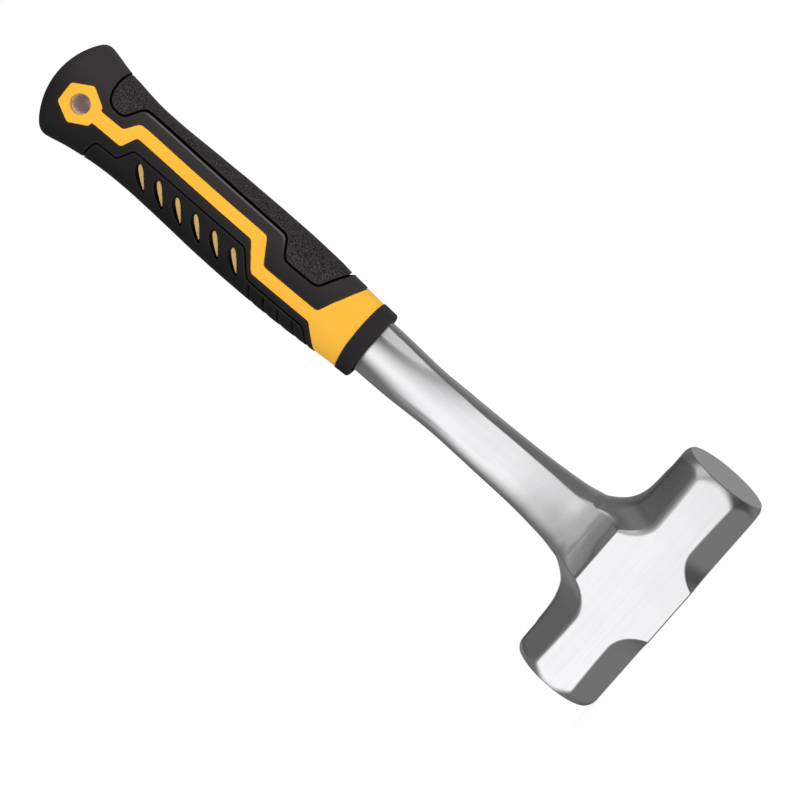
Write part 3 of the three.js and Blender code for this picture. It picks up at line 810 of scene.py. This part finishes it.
# black rubbers, each with a painted shade colour and a lit colour
black_skin = black_material(
    "black_soft_skin", painted_shade=(0.0095, 0.0083, 0.0090), light=(0.036, 0.0305, 0.0330),
    rough=(0.42, 0.52), offset=0.0, specular=0.12)
# a darker copy of the black rubber: painted shade on the finger side
shaded_black_pad = black_material(
    "shaded_black_finger_pad", painted_shade=(0.0070, 0.0061, 0.0066), light=(0.0125, 0.0108, 0.0115),
    rough=(0.44, 0.54), offset=0.3, specular=0.12)
black_ring = black_material(
    "black_neck_ring", painted_shade=(0.0095, 0.0082, 0.0088), light=(0.026, 0.0225, 0.0240),
    rough=(0.42, 0.52), offset=0.6, specular=0.13)
grained = grain_material()
glowing_liner = sleeve_material()

# ---------------------------------------------------------------------- pieces
parts = []


def add_part(name, surface, attributes, mat, node):
    """Writes a surface as a smooth mesh with its attributes and registers it."""
    verts, quads, normals = surface
    mesh = bpy.data.meshes.new(name)
    mesh.vertices.add(len(verts))
    mesh.vertices.foreach_set("co", (verts * 0.001).astype(np.float32).ravel())
    mesh.loops.add(quads.size)
    mesh.loops.foreach_set("vertex_index", quads.astype(np.int32).ravel())
    mesh.polygons.add(len(quads))
    mesh.polygons.foreach_set("loop_start", (np.arange(len(quads)) * 4).astype(np.int32))
    mesh.polygons.foreach_set("use_smooth", np.ones(len(quads), bool))
    mesh.update(calc_edges=True)
    mesh.normals_split_custom_set_from_vertices(normals.astype(np.float32))
    for key, values in attributes.items():
        values = np.asarray(values, np.float32)
        kind, field = ("FLOAT", "value") if values.ndim == 1 else ("FLOAT_VECTOR", "vector")
        mesh.attributes.new(key, kind, "POINT").data.foreach_set(field, values.ravel())
    obj = bpy.data.objects.new(name, mesh)
    bpy.context.scene.collection.objects.link(obj)
    obj.data.materials.append(mat)
    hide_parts(node)
    parts.append(obj)
    return obj


def build_forging():
    # fine lattice where the steel shows, coarse inside the grip
    zs = np.concatenate([lattice(-1.0, 50.0, 0.45), lattice(50.5, 157.0, 0.6),
                         lattice(158.0, TANG_Z + 2.5, 1.5)])
    head_box = ((-60, 60), (-60, 60), (-5, 50.0))
    shank_box = ((-20, 20), (-14, 14), (49, 159.0))
    tang_box = ((-13, 13), (-9, 9), (158, 400))
    surface = mesh_surface(forging_dist, lattice(-51.4, 51.4, 0.45),
                           lattice(-18.9, 18.9, 0.42), zs, (head_box, shank_box, tang_box))
    x, y, z = surface[0].T
    # the grind runs along X on the head, along the outline on neck and shank
    on_neck = fade(z, 36, 41)
    along = x * (1 - on_neck) + z * on_neck
    across = (z + np.abs(y)) * (1 - on_neck) + neck_outline(x, z) * on_neck
    darker_chamfer = (fade(chamfer_dist(x, y, z), -0.55, -0.1) * fade(z, 19, 22)
           * fade(np.abs(x), 17, 25))
    flow = np.stack([along, across, np.sign(y) * 7 + y * 0.2], 1)
    add_part("forged_head_and_shank", surface,
             {"flow": flow, "edge": convexity(*surface), "darker_chamfer": darker_chamfer},
             steel, "steel_forging")


def core_masks(x, y, z):
    grip = grip_dist(x, y, z)
    # painted shade masks for the window beds and the tongues
    return {"bed": fade(-window_outline(x, z), -0.8, -0.4) * fade(-grip, 1.2, 1.45),
            "painted_tongue_shade": fade(-tongue_outline(x, z), -0.9, -0.6) * fade(-grip, 0.4, 0.6)}


def shell_masks(x, y, z):
    grip, u = grip_dist(x, y, z), LENGTH - z
    # painted highlight along the crest of the bead, on the straight run of the palm side
    painted_lip_highlight = (bell(palm_outline(x, z), 0.36, 0.2) * fade(grip, -0.4, -0.1)
           * fade(u, 35, 40) * fade(u, 112, 106) * fade(x, 14.5, 13.6))
    # painted shade below the grip surface, painted highlight along the palm-pad bead, painted
    # light towards +X
    return {"painted_shade": fade(-grip, 0.35, 0.8), "painted_lip_highlight": painted_lip_highlight, "painted_side_light": np.clip((x + 3) / 15, 0, 1)}


def palm_masks(x, y, z):
    return {"grain": fade(-palm_outline(x, z), 0.9, 1.3)}


def finger_masks(x, y, z):
    # painted shade: near black in the windows and below the grip surface
    return {"painted_shade": np.maximum(fade(-window_outline(x, z), -0.35, 0.0),
                               fade(-grip_dist(x, y, z), 0.5, 1.0))}


def build_grip_piece(name, dist, node, mat, step, z_span, x_span=(-22.5, 22.5),
                     masks=None):
    surface = mesh_surface(dist, lattice(*x_span, step), lattice(-16.5, 16.5, step),
                           lattice(*z_span, step))
    verts = surface[0]
    attributes = {"edge": convexity(*surface)}
    if masks:
        attributes.update(masks(*verts.T))
    # painted light and shade by default: every black piece is lighter towards +X
    if mat in (black_skin, shaded_black_pad, black_ring):
        attributes.setdefault("painted_side_light", np.clip((verts[:, 0] + 14) / 28, 0, 1))
        attributes.setdefault("painted_shade", np.zeros(len(verts)))
        attributes.setdefault("painted_lip_highlight", np.zeros(len(verts)))
    return add_part(name, surface, attributes, mat, node)


def build_sleeve():
    surface = mesh_surface(sleeve_dist, lattice(-5.5, 5.5, 0.25), lattice(-12.5, 12.5, 0.4),
                           lattice(HANG_Z - 5.5, HANG_Z + 5.5, 0.25))
    add_part("hang_hole_sleeve", surface, {}, glowing_liner, "hang_sleeve")


build_forging()
core = build_grip_piece(
    "yellow_grip_core", core_dist, "grip_core", yellow,
    step=0.4, z_span=(RING_Z + 1, LENGTH + 0.6), masks=core_masks)
build_grip_piece(
    "black_grip_shell", shell_dist, "grip_shell", black_skin,
    step=0.32, z_span=(LENGTH - 152, LENGTH + 0.8), masks=shell_masks)
build_grip_piece(
    "grained_palm_pad", palm_dist, "palm_pad", grained, step=0.3,
    z_span=(LENGTH - 141, LENGTH - 20.5), x_span=(4.0, 19.5), masks=palm_masks)
build_grip_piece(
    "windowed_finger_pad", finger_dist, "finger_pad", shaded_black_pad, step=0.3,
    z_span=(LENGTH - 146, LENGTH - 25.5), x_span=(-19.5, 1.0), masks=finger_masks)
build_grip_piece(
    "black_neck_ring", ring_dist, "neck_ring", black_ring,
    step=0.3, z_span=(RING_Z - 1, RING_Z + 9))
if "hang_sleeve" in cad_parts:
    build_sleeve()
for part in parts:
    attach(part, "root")
core.visible_glossy = False     # keeps an orange cast off the steel

# ----------------------------------------------------------------------- stage
scene = bpy.context.scene


def build_floor(radius=6.0, rings=40, segments=96, drop=0.0002):
    """Disc in metres, with rings that grow wider outwards."""
    verts, faces = [(0, 0, 0)], []
    for i in range(1, rings + 1):
        r = radius * (i / rings) ** 2
        for k in range(segments):
            a = 2 * math.pi * k / segments
            verts.append((r * math.cos(a), r * math.sin(a), -drop))
    for k in range(segments):
        faces.append((0, 1 + k, 1 + (k + 1) % segments))
    for i in range(1, rings):
        for k in range(segments):
            a, b = (1 + (i - 1) * segments + j for j in (k, (k + 1) % segments))
            faces.append((a, a + segments, b + segments, b))
    mesh = bpy.data.meshes.new("floor")
    mesh.from_pydata(verts, [], faces)
    floor = bpy.data.objects.new("studio_floor", mesh)
    scene.collection.objects.link(floor)
    mat, net, bsdf = new_material("studio_floor_white")
    color = net.ramp(net.noise(net.position(), scale=3.0),
                     [(0.3, (0.36, 0.36, 0.36)), (0.7, (0.38, 0.38, 0.38))])
    net.put(bsdf, {"Base Color": color, "Roughness": 0.9, "Specular IOR Level": 0.0,
                   "Emission Color": (1, 1, 1, 1), "Emission Strength": 0.78})
    floor.data.materials.append(mat)
    floor.visible_glossy = False


CARD = 1.25             # gain of the bright card in front
# (azimuth in degrees, brightness): 0 looks along -Y, + turns towards +X
HORIZON = [
    (-180, .13), (-166, .12), (-120, .14), (-95, .19), (-80, .32), (-66, .50 * CARD),
    (-54, .72 * CARD), (-42, 1.0 * CARD), (-30, 1.12 * CARD), (-18, 1.12 * CARD),
    (-10, 1.02 * CARD), (0, .92 * CARD), (16, .75 * CARD), (33, .46 * CARD), (48, .28),
    (70, .19), (100, .16), (130, .16), (148, .24), (164, .42), (176, .2)]
# (elevation in degrees, share of the horizon band)
BAND = [(-60, 0), (-30, .25), (-13, .85), (-6, 1), (7, 1), (10.5, .66), (14, .5), (19, .38),
        (27, .27), (36, .16), (54, 0)]
# (elevation in degrees, brightness away from the band)
BACKDROP = [(-90, .24), (-40, .2), (0, .15), (45, .16), (70, .14), (88, .10)]
# (operation, strength, direction, inner and outer half angle in degrees)
LOBES = [
    ("ADD", 0.09, (-0.62, 0.66, 0.42), 8, 27), ("ADD", 0.25, (0.50, -0.68, 0.54), 8, 24),
    ("ADD", 0.1, (0.62, 0.70, 0.40), 6, 20), ("ADD", 0.5, (0.72, -0.28, 0.64), 8, 25),
    ("ADD", 0.12, (0.276, -0.839, 0.489), 6, 20),
    ("SUBTRACT", 0.13, (0.60, -0.05, -0.78), 15, 35)]
OVERHEAD, REAR_SHADE = 0.14, 0.035      # front card overhead; darkening high on the +Y side
MIN_LIGHT, BLUE_GAIN = 0.02, 1.01


def build_world():
    """White to the camera, a studio of soft cards in reflections, even light otherwise."""
    world = bpy.data.worlds.new("studio")
    scene.world = world
    world.use_nodes = True
    net = Net(world.node_tree)
    out = net.add("ShaderNodeOutputWorld")
    dx, dy, dz = net.separate(net.add("ShaderNodeTexCoord").outputs["Generated"])

    def smooth(value, start, end):
        return net.remap(value, to=(0.0, 1.0), source=(start, end),
                         interpolation_type="SMOOTHSTEP")

    def lobe(direction, inner, outer):
        v = np.array(direction, float)
        v /= np.linalg.norm(v)
        px, py, pz = (net.math("MULTIPLY", d, float(c)) for d, c in zip((dx, dy, dz), v))
        dot = net.math("ADD", net.math("ADD", px, py), pz)
        return smooth(dot, math.cos(math.radians(outer)), math.cos(math.radians(inner)))

    def angle_ramp(turn, span, stops):
        return net.ramp(turn, [((a + span // 2) / span, (v, v, v)) for a, v in stops])

    def background(color, strength=1.0):
        node = net.add("ShaderNodeBackground")
        net.put(node, {"Color": color, "Strength": strength})
        return node.outputs[0]

    def switch(fac, off, on):
        node = net.add("ShaderNodeMixShader")
        net.put(node, {0: fac, 1: off, 2: on})
        return node.outputs[0]

    azimuth = net.math("ARCTAN2", dx, net.math("MULTIPLY", dy, -1.0))
    azimuth = net.math("ADD", net.math("MULTIPLY", azimuth, 0.5 / math.pi), 0.5)
    elevation = net.math("MULTIPLY", net.math("ARCSINE", dz), 1 / math.pi)
    elevation = net.math("ADD", elevation, 0.5)
    horizon = angle_ramp(azimuth, 360, HORIZON)
    band = angle_ramp(elevation, 180, BAND)
    backdrop = angle_ramp(elevation, 180, BACKDROP)
    over = net.math("MULTIPLY", smooth(dz, 0.60, 0.76), smooth(dz, 1.01, 0.985))
    over = net.math("MULTIPLY", over, smooth(dy, 0.12, -0.12))
    rear = net.math("MULTIPLY", smooth(dy, 0.08, 0.35), smooth(dz, 0.35, 0.6))
    light = net.mix(band, backdrop, horizon)
    light = net.math("ADD", light, net.math("MULTIPLY", over, OVERHEAD))
    light = net.math("SUBTRACT", light, net.math("MULTIPLY", rear, REAR_SHADE))
    for op, strength, *cone in LOBES:
        light = net.math(op, light, net.math("MULTIPLY", lobe(*cone), strength))
    light = net.math("MAXIMUM", light, MIN_LIGHT)
    blue = net.math("MULTIPLY", light, BLUE_GAIN)
    cards = background(net.combine(light, light, blue))
    even = background((1, 1, 1, 1), strength=0.60)
    white = background((1, 1, 1, 1))
    path = net.add("ShaderNodeLightPath").outputs
    unseen = switch(path["Is Glossy Ray"], even, cards)
    net.put(out, {"Surface": switch(path["Is Camera Ray"], unseen, white)})


def add_light(name, place, size, power):
    """Disc light aimed at the hammer, left out of reflections."""
    light = bpy.data.lights.new(name, "AREA")
    light.shape = "DISK"
    light.size = size
    light.energy = power
    obj = bpy.data.objects.new(name, light)
    obj.location = place
    obj.rotation_mode = "QUATERNION"
    aim = Vector((0, 0, 0.15)) - Vector(place)
    obj.rotation_quaternion = aim.to_track_quat("-Z", "Y")
    obj.visible_glossy = False
    obj.visible_camera = False
    scene.collection.objects.link(obj)


def add_camera():
    camera = bpy.data.cameras.new("camera")
    camera.sensor_width = 36
    camera.lens = 156.22
    camera.clip_start, camera.clip_end = 0.05, 50
    obj = bpy.data.objects.new("camera", camera)
    scene.collection.objects.link(obj)
    place = (0.30848, -1.26332, 0.04274)
    right = np.array([0.62294, 0.20813, -0.75407])
    forward = np.array([-0.24313, 0.96773, 0.06625])
    right /= np.linalg.norm(right)
    back = -forward / np.linalg.norm(forward)
    rows = zip(right, np.cross(back, right), back, place)
    obj.matrix_world = Matrix((*rows, (0, 0, 0, 1)))
    scene.camera = obj


build_floor()
build_world()
add_light("key", (1.25, -1.25, 0.8), size=0.8, power=11)
add_light("fill", (-1.1, -1.3, 0.6), size=0.9, power=1.4)
add_camera()
scene.view_settings.view_transform = "Standard"
scene.view_settings.look = "None"
